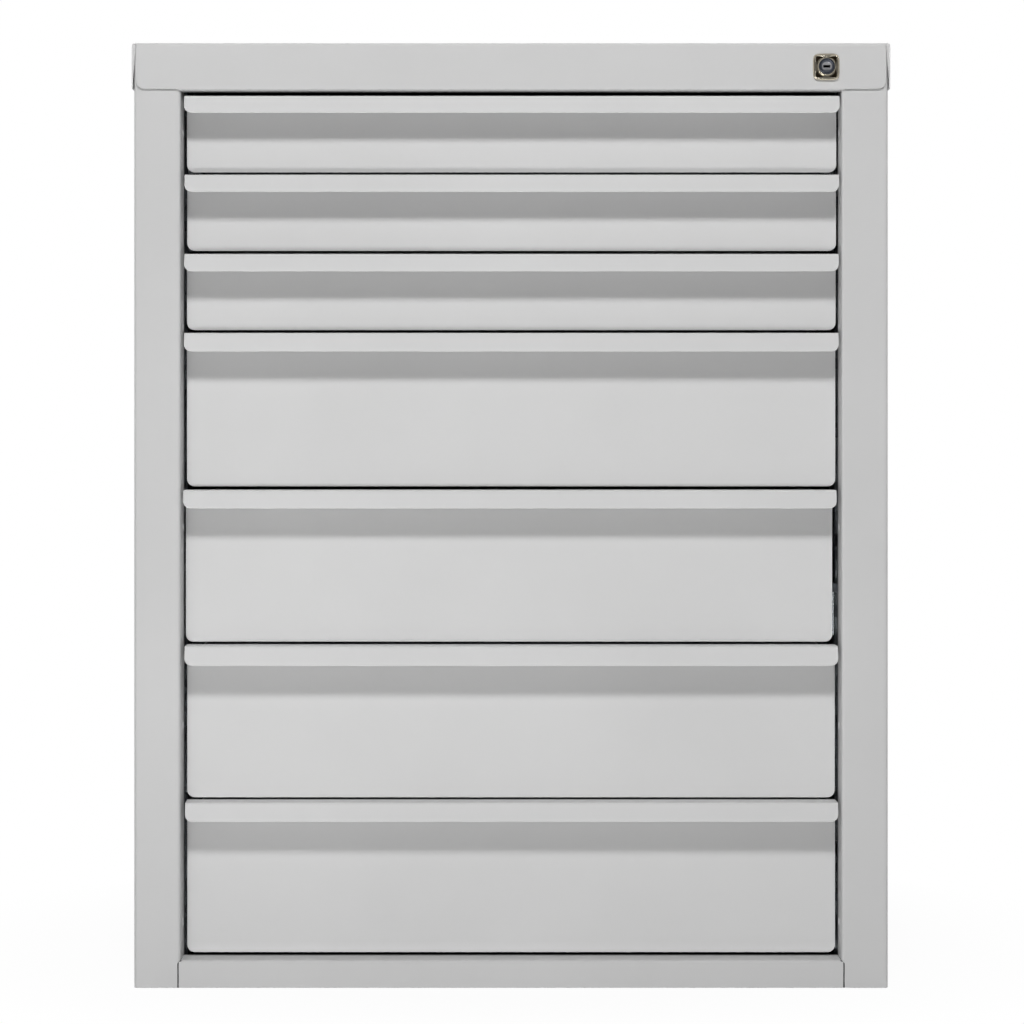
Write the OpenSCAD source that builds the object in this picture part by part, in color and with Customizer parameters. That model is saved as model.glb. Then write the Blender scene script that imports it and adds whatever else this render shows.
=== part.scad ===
// Drawer cabinet of folded sheet steel: a tray-shaped top cap with a cam lock, two side panels
// whose front folds make the posts, a bottom rail, and drawers on ball-bearing slides that a
// lock bar holds shut. X is to the right, the drawers open towards -Y and Z is up. The origin
// is on the floor, under the middle of the whole cabinet.

/* [Body] */
// Width over the side panels
body_w = 600; // [500:1:900]
// Depth from the post faces to the rear flanges
body_d = 500; // [400:1:700]
// Thickness of the painted sheet
sheet = 1; // [0.8:0.1:1.5]
// Outside radius of the folds
fold_r = 2.5; // [2:0.1:4]
// Width of each post face
post_w = 37; // [32:1:60]
// Depth of the folds behind the post faces and the bottom rail
return_d = 30; // [20:1:45]
// Height of the bottom rail
rail_h = 22; // [18:1:80]
// Width of the rear flanges of the side panels and of the tops of the cross rails
flange_w = 20; // [12:1:30]
// Height of the turned-down lip behind the bottom rail
rail_lip_h = 12; // [6:1:16]

/* [Top cap] */
// Height of the skirts of the cap
cap_h = 38; // [34:1:60]
// Gap between the skirts and the body
cap_gap = 1; // [0.5:0.1:3]
// Gap of the open corner between the front flap and a side skirt
cap_corner_gap = 1.6; // [0.5:0.1:3]
// Corner radius at the foot of the front and rear flaps
cap_corner_r = 6; // [2:0.5:12]
// Depth of the fold under the front flap, over the drawers
cap_return_d = 12; // [6:1:16]
// Distance from the post faces to the front cross rail
cross_rail_set = 14; // [13:1:18]
// Gap between the cross rails and the top of the drawer opening
cross_rail_gap = 2; // [1:1:6]

/* [Drawers] */
// Number of low drawers, at the top
low_count = 3; // [1:1:6]
// Number of high drawers, below them
high_count = 4; // [1:1:6]
// Height of the front of a low drawer
low_front_h = 60; // [60:1:90]
// Height of the front of a high drawer
high_front_h = 122; // [80:1:200]
// Gap between two fronts, and at the head and foot of the opening
front_gap = 3; // [2:0.5:6]
// Gap beside each front
side_gap = 2; // [1:0.5:4]
// Thickness of the sheet of a front
front_t = 1; // [0.8:0.1:1.5]
// How far the grip reaches in front of the face
grip_d = 25; // [18:1:28]
// Height of the turned-down lip of the grip
grip_h = 14.5; // [10:0.5:24]
// Corner radius at the foot of the lip
grip_corner_r = 5; // [1:0.5:8]
// Corner radius at the foot of the face
face_corner_r = 4.3; // [1:0.1:8]
// Height of a tray's floor above the foot of its front
tray_lift = 2; // [1:0.5:6]
// Height from a tray's rim to the top of its front
tray_drop = 2; // [1:0.5:12]
// Free depth behind a closed tray
tray_room = 28; // [10:1:60]
// Height of the hem along the sides of a tray
hem_h = 6; // [3:1:10]

/* [Slides] */
// Height of a slide
slide_h = 35; // [33:0.5:38]
// Thickness of a slide, from the upright to the tray
slide_t = 12.7; // [12:0.1:14]
// Thickness of the slide metal
slide_metal = 1.2; // [1:0.1:1.4]
// Height of the slide above the foot of its front
slide_lift = 2; // [1:0.5:4]
// Free depth behind the slides
slide_room = 36; // [20:1:60]
// Diameter of the balls
ball_d = 3; // [2.6:0.1:3.2]
// Distance between two balls
ball_pitch = 20; // [10:1:30]
// Number of balls in a row
ball_count = 5; // [3:1:6]
// Thickness of the cage strip
cage_t = 0.5; // [0.4:0.1:0.6]
// Width of an upright, along the depth of the cabinet
upright_w = 40; // [20:1:60]
// Thickness of the metal of an upright
upright_t = 1.25; // [1:0.05:1.5]
// Distance from the ends of the slides to the uprights
upright_set = 4; // [2:1:10]
// Radius of the shank of a slide screw
screw_r = 2; // [1.5:0.1:2.5]
// Radius of the head of a slide screw
screw_head_r = 3.6; // [3:0.1:4.5]
// Length of the shank of a slide screw
screw_len = 6; // [4:0.5:10]

/* [Lock] */
// Side of the square head of the lock
lock_head_w = 21; // [19:0.5:22]
// Thickness of the square head
lock_head_t = 2.5; // [1.5:0.1:4]
// Corner radius of the square head
lock_head_r = 2; // [1:0.1:4]
// Radius of the threaded barrel
barrel_r = 9.5; // [8.5:0.1:10]
// Radius of the plug
plug_r = 6.2; // [5:0.1:7]
// How far the plug stands out of the head
plug_proud = 0.4; // [0.2:0.1:1]
// Width of the key slot
key_slot_w = 1.8; // [0.8:0.1:2]
// Length of the key slot
key_slot_l = 5.6; // [4:0.1:8]
// Depth of the key slot
key_slot_d = 8; // [4:0.5:12]
// Distance from the lock's axis to the side of the drawer opening
lock_inset = 12; // [11.5:0.5:20]
// Thickness of the lock nut
nut_t = 4; // [3:0.5:6]
// Width of the lock nut across its flats
nut_w = 22; // [21.5:0.1:23]
// Thickness of the cam
cam_t = 2; // [1.5:0.1:3]
// Radius of the cam's hub
cam_hub_r = 8; // [7:0.1:9]
// Radius of the cam's end round the crank pin
cam_end_r = 4.5; // [3.5:0.1:5]
// Side of the square tenon between plug and cam
tenon_w = 7; // [5:0.1:8]
// Radius of the head of the cam screw
cam_screw_head_r = 5; // [4:0.1:6]
// Height of the head of the cam screw
cam_screw_head_t = 2.5; // [1.5:0.1:3]
// Distance from the lock's axis to the crank pin
crank_r = 10; // [8:0.5:11]
// Radius of the crank pin
pin_r = 2; // [1.5:0.1:2.5]
// Distance from the post folds to the lock bar
bar_set = 14; // [12:1:24]
// Width of the lock bar, along the depth of the cabinet
bar_w = 16; // [10:1:24]
// Thickness of the lock bar and of its hooks
bar_t = 2; // [1.5:0.5:3]
// Distance from the side of the drawer opening to the lock bar
bar_inset = 3; // [3:0.5:6]
// Height of a hook
hook_h = 7; // [5:0.5:8]
// Height of a catch on a tray
catch_h = 12; // [8:0.5:12]
// How far a catch stands out from its tray
catch_w = 8; // [6:0.5:8.5]
// Length of the flange that a catch is welded on by
catch_flange = 14; // [8:1:30]
// Play between a hook and the catch behind it
lock_play = 2; // [1:0.5:4]
// Height of a guide of the lock bar
guide_h = 10; // [6:1:14]
// Thickness of the metal of a guide
guide_t = 1.2; // [0.8:0.1:1.5]

/* [Clearances] */
// Gap of the bar in its guides, and of the slide races from the web across
slide_fit = 0.3; // [0.2:0.05:0.5]
// Gap round the balls, and round screws and plug in their holes
ball_fit = 0.05; // [0.02:0.01:0.1]
// Gap round the crank pin in its slot, which takes up its arc
pin_fit = 0.5; // [0.4:0.05:0.8]
// Gap between pieces that pass each other
pass_gap = 1; // [0.5:0.1:2]
// Gap between a catch and the tray it is welded to
weld_gap = 0.1; // [0.05:0.05:0.2]

/* [Hidden] */
$fn = 48;
drawer_n = low_count + high_count;
function front_h(i) = i <= low_count ? low_front_h : high_front_h;
function foot_z(i) = i == drawer_n ? rail_h + front_gap : foot_z(i + 1) + front_h(i + 1) + front_gap;

// Heights
open_top = foot_z(1) + front_h(1) + front_gap;
cap_top = open_top + cap_h;
body_top = cap_top - sheet;
panel_top = cap_top - fold_r;

// Plan: the opening, the cap, and where the cabinet's faces lie
open_x = body_w / 2 - post_w;
cap_w = body_w + 2 * (cap_gap + sheet);
cap_d = body_d + 2 * (cap_gap + sheet);
flap_x = cap_w / 2 - sheet - cap_corner_gap;
panel_x = body_w / 2 - fold_r;
cap_y = -(cap_d - lock_head_t - plug_proud) / 2;
front_y = cap_y + sheet + cap_gap;
back_y = front_y + body_d - sheet;

// Drawers
front_x = open_x - side_gap;
tray_x = open_x - slide_t;
face_y = front_y + grip_d;
tray_y = face_y + front_t;
tray_d = back_y - sheet - tray_room - tray_y;

// Lock bar, hooks and catches, from the post folds backwards
bar_y = front_y + return_d + bar_set;
bar_x = open_x + bar_inset;
catch_y = bar_y + bar_t + lock_play;
hook_tip_x = tray_x + catch_w / 2;
hook_lift = slide_lift + slide_h + pass_gap;
catch_lift = hook_lift + hook_h + pass_gap;
bar_rise = crank_r * sqrt(2);
guide_lift = catch_lift + catch_h + bar_rise + 2 * pass_gap;

// Slides: u runs from the upright to the tray, v up and down from the middle
slide_y = bar_y + bar_w + 2 * pass_gap;
slide_len = back_y - sheet - slide_room - slide_y;
cabinet_in_v = slide_h / 2 - slide_metal;
outer_ball_v = cabinet_in_v - ball_fit - ball_d / 2;
middle_out_v = outer_ball_v - ball_d / 2 - ball_fit;
middle_in_v = middle_out_v - slide_metal;
inner_ball_v = middle_in_v - ball_fit - ball_d / 2;
drawer_out_v = inner_ball_v - ball_d / 2 - ball_fit;
middle_u = 2 * slide_metal;
race_end_u = slide_t - 2 * slide_metal - slide_fit;
cage_gap = 0.45;
drawer_race_u = middle_u + slide_metal + cage_t + 2 * cage_gap;
outer_ball_u = (middle_u + race_end_u) / 2;
inner_ball_u = (drawer_race_u + race_end_u) / 2;
bead = 0.7;
cage_len = ball_pitch * ball_count;
cage_y = slide_y + (slide_len - cage_len) / 2;
screw_head_t = slide_metal - slide_fit;
upright_front_y = slide_y + upright_set;
upright_rear_y = slide_y + slide_len - upright_set - upright_w;

// Lock: the cam turns just behind the post folds, its crank pin starts 45 degrees down
lock_x = open_x - lock_inset;
lock_z = open_top + cap_h / 2;
plug_y = cap_y - lock_head_t - plug_proud;
barrel_end_y = front_y + return_d;
cam_y = barrel_end_y + pass_gap;
pin_x = lock_x + crank_r * cos(45);
pin_z = lock_z - crank_r * sin(45);
arm_border = 3;
arm_h = 2 * (pin_r + pin_fit + arm_border);

paint = [0.78, 0.78, 0.78];
zinc = [0.72, 0.73, 0.75];
nickel = [0.83, 0.82, 0.8];
steel = [0.5, 0.5, 0.52];

DRAWER_PIECES = ["front", "tray", "drawer_members", "middle_members", "outer_cages", "inner_cages"];

// ---- Helpers

// Extrude a section drawn in X and Z along Y
module along_y(length) {
    translate([0, length, 0]) rotate([90, 0, 0]) linear_extrude(length) children();
}

// Extrude a section drawn in Y and Z along X, centred on the cabinet
module across(width) {
    translate([-width / 2, 0, 0]) rotate([90, 0, 90]) linear_extrude(width) children();
}

module both_sides() {
    children();
    mirror([1, 0, 0]) children();
}

// A round bar along Y
module rod_y(r, length) {
    rotate([-90, 0, 0]) cylinder(r = r, h = length);
}

// A round bar along X
module rod_x(r, length) {
    rotate([0, 90, 0]) cylinder(r = r, h = length);
}

// Sheet folded square: legs along X and Y, outside corner of the fold at the origin
module angle_section(x_leg, y_leg, r = fold_r, t = sheet) {
    intersection() {
        translate([r, r]) difference() {
            circle(r);
            circle(r - t);
        }
        square(r);
    }
    translate([r, 0]) square([x_leg - r, t]);
    translate([0, r]) square([t, y_leg - r]);
}

// What a round corner takes off a square one; the corner is at the origin, the sheet at +X and +Y
module corner_waste(r) {
    difference() {
        translate([-1, -1]) square(r + 1);
        translate([r, r]) circle(r);
    }
}

// ---- Body

// Plan of a side panel: X from its outer face inwards, Y from the post face back
module side_section() {
    angle_section(post_w / 2, body_d / 2);
    translate([post_w, 0]) mirror([1, 0]) angle_section(post_w / 2, return_d);
    translate([0, body_d]) mirror([0, 1]) angle_section(flange_w, body_d / 2);
}

// Corner of the opening, drawn in X and Z: the fold of the post ends on the fold of the rail
module mitre_waste() {
    polygon([[post_w - fold_r, -1], [post_w - fold_r, rail_h - fold_r],
             [post_w, rail_h], [post_w + 1, rail_h], [post_w + 1, -1]]);
}

module side_panel() {
    translate([body_w / 2, front_y, 0]) mirror([1, 0, 0]) difference() {
        linear_extrude(panel_top) side_section();
        translate([0, -1, 0]) along_y(return_d + 2) mitre_waste();
    }
}

module right_side_panel() {
    color(paint) side_panel();
}

module left_side_panel() {
    color(paint) mirror([1, 0, 0]) side_panel();
}

module back_panel() {
    color(paint) translate([-panel_x, back_y - sheet, 0]) cube([2 * panel_x, sheet, panel_top]);
}

module base_panel() {
    length = body_d - 3 * sheet;
    lip = rail_h - fold_r - pass_gap;
    color(paint) translate([0, front_y + sheet, 0]) across(2 * panel_x) {
        angle_section(length / 2, lip);
        translate([length, 0]) mirror([1, 0]) angle_section(length / 2, lip);
    }
}

module bottom_rail() {
    half = open_x + fold_r;
    color(paint) translate([0, front_y, 0]) difference() {
        across(2 * half) translate([0, rail_h]) mirror([0, 1]) {
            angle_section(return_d / 2, rail_h);
            translate([return_d, 0]) mirror([1, 0]) angle_section(return_d / 2, rail_lip_h);
        }
        both_sides() translate([0, -1, 0]) along_y(return_d + 2)
            polygon([[half, rail_h - fold_r], [open_x, rail_h], [open_x, rail_h + 1],
                     [half + 1, rail_h + 1], [half + 1, rail_h - fold_r]]);
    }
}

// One flap of the cap: Y from its outer face inwards, Z from its foot, folded over at the top
module cap_flap() {
    difference() {
        across(2 * flap_x) translate([0, cap_h]) mirror([0, 1]) angle_section(2 * fold_r, cap_h);
        both_sides() translate([-flap_x, -1, 0]) along_y(sheet + 2) corner_waste(cap_corner_r);
    }
}

module top_cap() {
    return_x = open_x - cap_gap / 2;
    color(paint) difference() {
        translate([0, cap_y, open_top]) {
            translate([0, fold_r, cap_h]) mirror([0, 0, 1]) along_y(cap_d - 2 * fold_r) both_sides()
                translate([-cap_w / 2, 0]) angle_section(cap_w / 2, cap_h);
            translate([0, cap_d, 0]) mirror([0, 1, 0]) cap_flap();
            difference() {
                cap_flap();
                translate([-return_x, -1, -1]) cube([2 * return_x, sheet + 2, fold_r + 1]);
            }
            across(2 * return_x) angle_section(cap_return_d, cap_h / 2);
        }
        translate([lock_x, cap_y - 1, lock_z]) rod_y(barrel_r + ball_fit, sheet + 2);
    }
}

// Section of a cross rail: Y from its face, Z from its foot
module cross_rail_section() {
    height = body_top - open_top - cross_rail_gap;
    translate([0, height]) mirror([0, 1]) angle_section(flange_w, height);
}

module cross_rails() {
    color(paint) {
        difference() {
            translate([0, front_y + cross_rail_set, open_top + cross_rail_gap])
                across(2 * open_x) cross_rail_section();
            translate([lock_x, front_y, lock_z]) rod_y(barrel_r + pass_gap, return_d);
        }
        translate([0, back_y - sheet, open_top + cross_rail_gap]) mirror([0, 1, 0])
            across(2 * panel_x) cross_rail_section();
    }
}

// ---- Slides and what carries them

// Middle height of the slide of drawer i
function slide_z(i) = foot_z(i) + slide_lift + slide_h / 2;

// Places of the slide screws of one side, in Y and Z
SCREW_PLACES = [for (i = [1:drawer_n]) for (y = [upright_front_y, upright_rear_y])
                [y + upright_w / 2, slide_z(i)]];

module screw_holes() {
    for (place = SCREW_PLACES)
        translate([open_x - 2 * slide_metal, place[0], place[1]])
            rod_x(screw_r + ball_fit, 2 * slide_metal + upright_t + 1);
}

module upright() {
    translate([open_x, 0, sheet]) linear_extrude(body_top - sheet) {
        angle_section(post_w - sheet, upright_w / 2, fold_r, upright_t);
        translate([0, upright_w]) mirror([0, 1])
            angle_section(post_w - sheet, upright_w / 2, fold_r, upright_t);
    }
}

module slide_uprights() {
    color(zinc) both_sides() difference() {
        for (y = [upright_front_y, upright_rear_y]) translate([0, y, 0]) upright();
        screw_holes();
    }
}

// Channel of a slide in u and v: web from web_u to web_u + slide_metal, races out to end_u
module channel_section(web_u, end_u, out_v) {
    low_u = min(web_u, end_u);
    translate([web_u, -out_v]) square([slide_metal, 2 * out_v]);
    for (side = [-1, 1])
        translate([low_u, side > 0 ? out_v - slide_metal : -out_v])
            square([abs(end_u - web_u), slide_metal]);
}

// Bead along the end of a race that keeps the balls in, from v inwards or outwards
module bead_section(u, v, towards) {
    for (side = [-1, 1])
        translate([u, side * v + min(0, side * towards * bead)]) square([bead, bead]);
}

module cabinet_section() {
    channel_section(0, race_end_u, slide_h / 2);
    bead_section(race_end_u - bead, cabinet_in_v, -1);
}

module middle_section() {
    channel_section(middle_u, race_end_u, middle_out_v);
    bead_section(race_end_u - bead, middle_out_v, 1);
    bead_section(race_end_u - bead, middle_in_v, -1);
}

module drawer_section() {
    channel_section(slide_t - slide_metal, drawer_race_u, drawer_out_v);
    bead_section(drawer_race_u, drawer_out_v, 1);
}

// Place something drawn in u and v on both sides at the slide of drawer i
module at_slides(i) {
    both_sides() translate([open_x, 0, slide_z(i)]) mirror([1, 0, 0]) children();
}

module slide_member(i) {
    at_slides(i) translate([0, slide_y, 0]) along_y(slide_len) children();
}

module cabinet_members() {
    color(zinc) difference() {
        for (i = [1:drawer_n]) slide_member(i) cabinet_section();
        both_sides() screw_holes();
    }
}

module slide_screws() {
    color(steel) both_sides() for (place = SCREW_PLACES)
        translate([open_x - slide_metal, place[0], place[1]]) {
            rod_x(screw_r, screw_len);
            translate([-screw_head_t, 0, 0]) rod_x(screw_head_r, screw_head_t);
        }
}

module drawer_members(i) {
    color(zinc) slide_member(i) drawer_section();
}

module middle_members(i) {
    color(zinc) slide_member(i) middle_section();
}

// Ball cage: strip between two webs at web_u, turned over both rows of balls
module cage(web_u, ball_u, ball_v) {
    half = ball_v + cage_t / 2;
    translate([0, cage_y, 0]) {
        along_y(cage_len) {
            translate([web_u, -half]) square([cage_t, 2 * half]);
            for (side = [-1, 1])
                translate([web_u, side * ball_v - cage_t / 2])
                    square([ball_u + ball_d / 2 - web_u, cage_t]);
        }
        for (side = [-1, 1], n = [0:ball_count - 1])
            translate([ball_u, ball_pitch * (n + 0.5), side * ball_v]) sphere(d = ball_d);
    }
}

module outer_cages(i) {
    web_u = slide_metal + (slide_metal - cage_t) / 2;
    color(steel) at_slides(i) cage(web_u, outer_ball_u, outer_ball_v);
}

module inner_cages(i) {
    web_u = middle_u + slide_metal + cage_gap;
    color(steel) at_slides(i) cage(web_u, inner_ball_u, inner_ball_v);
}

// ---- Drawers

// Section of a front in Y and Z: face, ledge forward and lip, from the foot of the front
module front_section(height) {
    depth = grip_d + front_t;
    translate([0, height]) mirror([0, 1]) {
        angle_section(depth / 2, grip_h, fold_r, front_t);
        translate([depth, 0]) mirror([1, 0]) angle_section(depth / 2, height, fold_r, front_t);
    }
}

module drawer_front(i) {
    height = front_h(i);
    color(paint) translate([0, front_y, foot_z(i)]) difference() {
        across(2 * front_x) front_section(height);
        both_sides() {
            translate([-front_x, grip_d - 1, 0]) along_y(front_t + 2) corner_waste(face_corner_r);
            translate([-front_x, -1, height - grip_h]) along_y(front_t + 2)
                corner_waste(grip_corner_r);
        }
    }
}

// Cross-section of a whole tray, in X and Z from its floor
module tray_outline(height) {
    both_sides() {
        translate([0, fold_r]) square([tray_x, height - fold_r]);
        square([tray_x - fold_r, fold_r]);
        translate([tray_x - fold_r, fold_r]) circle(fold_r);
    }
}

module drawer_tray(i) {
    height = front_h(i) - tray_lift - tray_drop;
    color(paint) {
        translate([0, tray_y, foot_z(i) + tray_lift]) {
            along_y(tray_d) both_sides() {
                translate([-tray_x, 0]) angle_section(tray_x, height);
                translate([sheet - tray_x, height - hem_h]) square([sheet, hem_h]);
            }
            for (y = [0, tray_d - sheet])
                translate([0, y, 0]) along_y(sheet) tray_outline(height);
        }
        translate([tray_x + weld_gap, catch_y, foot_z(i) + catch_lift]) linear_extrude(catch_h)
            angle_section(catch_w - weld_gap, catch_flange, fold_r, bar_t);
    }
}

// ---- Lock

module lock_housing() {
    half = lock_head_w / 2 - lock_head_r;
    color(nickel) translate([lock_x, cap_y, lock_z]) difference() {
        union() {
            translate([0, -lock_head_t, 0]) along_y(lock_head_t) {
                square([lock_head_w, 2 * half], center = true);
                square([2 * half, lock_head_w], center = true);
                for (x = [-half, half], z = [-half, half]) translate([x, z]) circle(lock_head_r);
            }
            rod_y(barrel_r, barrel_end_y - cap_y);
        }
        translate([0, -lock_head_t - 1, 0])
            rod_y(plug_r + ball_fit, lock_head_t + barrel_end_y - cap_y + 2);
    }
}

module lock_nut() {
    color(nickel) translate([lock_x, cap_y + sheet, lock_z]) difference() {
        rotate([0, 30, 0]) rotate([-90, 0, 0])
            cylinder(r = nut_w / 2 / cos(30), h = nut_t, $fn = 6);
        translate([0, -1, 0]) rod_y(barrel_r + ball_fit, nut_t + 2);
    }
}

module lock_plug() {
    length = cam_y - plug_y;
    color(steel) translate([lock_x, plug_y, lock_z]) difference() {
        union() {
            rod_y(plug_r, length);
            translate([-tenon_w / 2, 0, -tenon_w / 2]) cube([tenon_w, length + cam_t, tenon_w]);
        }
        translate([-key_slot_l / 2, -1, -key_slot_w / 2])
            cube([key_slot_l, key_slot_d + 1, key_slot_w]);
        translate([0, length - key_slot_d, 0]) rod_y(screw_r + ball_fit, key_slot_d + cam_t + 1);
    }
}

module lock_cam() {
    hole_w = tenon_w + 2 * ball_fit;
    color(nickel) translate([lock_x, cam_y, lock_z]) difference() {
        rotate([0, 45, 0]) {
            rod_y(cam_hub_r, cam_t);
            translate([0, 0, -cam_end_r]) cube([crank_r, cam_t, 2 * cam_end_r]);
            translate([crank_r, 0, 0]) {
                rod_y(cam_end_r, cam_t);
                rod_y(pin_r, bar_y + bar_t + pass_gap - cam_y);
            }
        }
        translate([-hole_w / 2, -1, -hole_w / 2]) cube([hole_w, cam_t + 2, hole_w]);
    }
}

module cam_screw() {
    color(steel) translate([lock_x, cam_y + cam_t, lock_z]) {
        rod_y(cam_screw_head_r, cam_screw_head_t);
        translate([0, 1 - key_slot_d, 0]) rod_y(screw_r, key_slot_d);
    }
}

// Strip behind the post, with an arm at its head whose slot holds the crank pin
module lock_bar() {
    foot = foot_z(drawer_n) + hook_lift - pass_gap;
    slot_in = pin_x - pin_r - pin_fit;
    arm_x = slot_in - arm_border;
    slot_out = lock_x + crank_r + pin_r + pin_fit;
    color(zinc) difference() {
        union() {
            translate([bar_x, bar_y, foot]) cube([bar_t, bar_w, pin_z + arm_h / 2 - foot]);
            translate([arm_x, bar_y, pin_z - arm_h / 2]) cube([bar_x + bar_t - arm_x, bar_t, arm_h]);
        }
        translate([slot_in, bar_y - 1, pin_z - pin_r - pin_fit])
            cube([slot_out - slot_in, bar_t + 2, 2 * (pin_r + pin_fit)]);
    }
}

module lock_hooks() {
    color(zinc) for (i = [1:drawer_n])
        translate([hook_tip_x, bar_y, foot_z(i) + hook_lift]) cube([bar_x - hook_tip_x, bar_t, hook_h]);
}

// Brackets on the front uprights that the bar runs through, above every second hook
module bar_guides() {
    wall = guide_t + slide_fit;
    color(zinc) for (i = [drawer_n:-2:2]) translate([bar_x, bar_y, foot_z(i) + guide_lift])
        difference() {
            translate([-wall, -wall, 0]) cube([bar_t + 2 * wall, upright_front_y - bar_y + wall, guide_h]);
            translate([-slide_fit, -slide_fit, -1])
                cube([bar_t + 2 * slide_fit, bar_w + 2 * slide_fit, guide_h + 2]);
        }
}

// ---- Nodes

left_side_panel();
right_side_panel();
back_panel();
base_panel();
bottom_rail();
top_cap();
cross_rails();
slide_uprights();
cabinet_members();
slide_screws();
lock_housing();
lock_nut();
lock_plug();
lock_cam();
cam_screw();
lock_bar();
lock_hooks();
bar_guides();
for (i = [1:drawer_n]) {
    drawer_front(i);
    drawer_tray(i);
    drawer_members(i);
    middle_members(i);
    outer_cages(i);
    inner_cages(i);
}
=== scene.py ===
import math

import bmesh
import bpy
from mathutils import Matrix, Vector


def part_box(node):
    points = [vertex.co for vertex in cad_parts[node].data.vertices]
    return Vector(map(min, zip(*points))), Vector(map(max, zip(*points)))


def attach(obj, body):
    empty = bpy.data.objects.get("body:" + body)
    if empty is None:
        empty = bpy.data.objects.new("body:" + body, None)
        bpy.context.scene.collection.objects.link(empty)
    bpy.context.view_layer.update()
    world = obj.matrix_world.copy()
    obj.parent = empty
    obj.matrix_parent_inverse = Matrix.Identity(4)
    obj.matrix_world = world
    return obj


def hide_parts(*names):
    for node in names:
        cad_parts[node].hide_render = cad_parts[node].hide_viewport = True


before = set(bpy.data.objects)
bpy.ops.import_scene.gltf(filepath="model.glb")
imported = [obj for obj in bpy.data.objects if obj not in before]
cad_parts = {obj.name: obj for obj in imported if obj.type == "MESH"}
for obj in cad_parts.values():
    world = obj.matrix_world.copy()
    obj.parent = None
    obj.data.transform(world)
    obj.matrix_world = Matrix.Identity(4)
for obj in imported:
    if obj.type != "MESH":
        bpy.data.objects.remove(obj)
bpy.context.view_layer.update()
mm = 0.001      # sizes are written in mm, the scene is in metres
print("frame loaded")


# small helpers

def point(x, y, z):
    return Vector((x, y, z)) * mm


def linearColour(hexCode):
    parts = [int(hexCode[i:i + 2], 16) / 255 for i in (1, 3, 5)]
    return [c / 12.92 if c <= 0.04045 else ((c + 0.055) / 1.055) ** 2.4 for c in parts] + [1]


def addNode(tree, kind, settings=None, links=None):
    # plain names set the node itself, names of sockets set or link its inputs
    node = tree.nodes.new(kind)
    for name, value in (settings or {}).items():
        if isinstance(name, str) and hasattr(node, name):
            setattr(node, name, value)
        else:
            node.inputs[name].default_value = value
    for name, socket in (links or {}).items():
        tree.links.new(socket, node.inputs[name])
    return node


def newMaterial(name, settings):
    material = bpy.data.materials.new(name)
    material.use_nodes = True
    tree = material.node_tree
    tree.nodes.clear()
    shader = addNode(tree, "ShaderNodeBsdfPrincipled", settings)
    addNode(tree, "ShaderNodeOutputMaterial", links={"Surface": shader.outputs["BSDF"]})
    place = addNode(tree, "ShaderNodeTexCoord").outputs["Object"]
    return material, tree, shader, place


# materials: sizes in mm, and how far the roughness goes down and up from its middle

noiseSpan = {"From Min": 0.3, "From Max": 0.7}     # a noise texture stays mostly between these

powder = {
    "peelSize": 2.2,        # width of the bumps of the orange peel
    "peelHeight": 0.006,
    "grainSize": 0.9,       # powder grain, drawn coarser than the real 0.1 mm so that it shows
    "cloudSize": 140,       # slow change of film thickness
    "glossDown": 0.04, "glossUp": 0.05,
}


def powderCoat(name, light, dark, roughness):
    # satin polyester powder baked on steel sheet: even colour, a soft broad sheen, faint orange peel
    material, tree, shader, place = newMaterial(name, {"IOR": 1.5, "Roughness": roughness})
    clouds = addNode(tree, "ShaderNodeTexNoise", {"Scale": 1000 / powder["cloudSize"], "Detail": 3.0},
                     {"Vector": place})
    tone = addNode(tree, "ShaderNodeValToRGB", links={"Fac": clouds.outputs["Fac"]})
    for stop, position, colour in zip(tone.color_ramp.elements, noiseSpan.values(), (dark, light)):
        stop.position = position
        stop.color = linearColour(colour)
    tree.links.new(tone.outputs["Color"], shader.inputs["Base Color"])
    grain = addNode(tree, "ShaderNodeTexNoise", {"Scale": 1000 / powder["grainSize"], "Detail": 2.0},
                    {"Vector": place})
    gloss = addNode(tree, "ShaderNodeMapRange",
                    {**noiseSpan, "To Min": roughness - powder["glossDown"],
                     "To Max": roughness + powder["glossUp"]},
                    {"Value": grain.outputs["Fac"]})
    tree.links.new(gloss.outputs["Result"], shader.inputs["Roughness"])
    peel = addNode(tree, "ShaderNodeTexNoise", {"Scale": 1000 / powder["peelSize"], "Detail": 1.5},
                   {"Vector": place})
    bump = addNode(tree, "ShaderNodeBump", {"Strength": 1.0, "Distance": powder["peelHeight"] * mm},
                   {"Height": peel.outputs["Fac"]})
    tree.links.new(bump.outputs["Normal"], shader.inputs["Normal"])
    return material


rolling = {
    "lineWidth": 0.35,
    "linesPerMetre": 12.0,      # how often a line begins anew along its run
    "lineDepth": 0.02,
    "glossDown": 0.07, "glossUp": 0.09,
}


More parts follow.
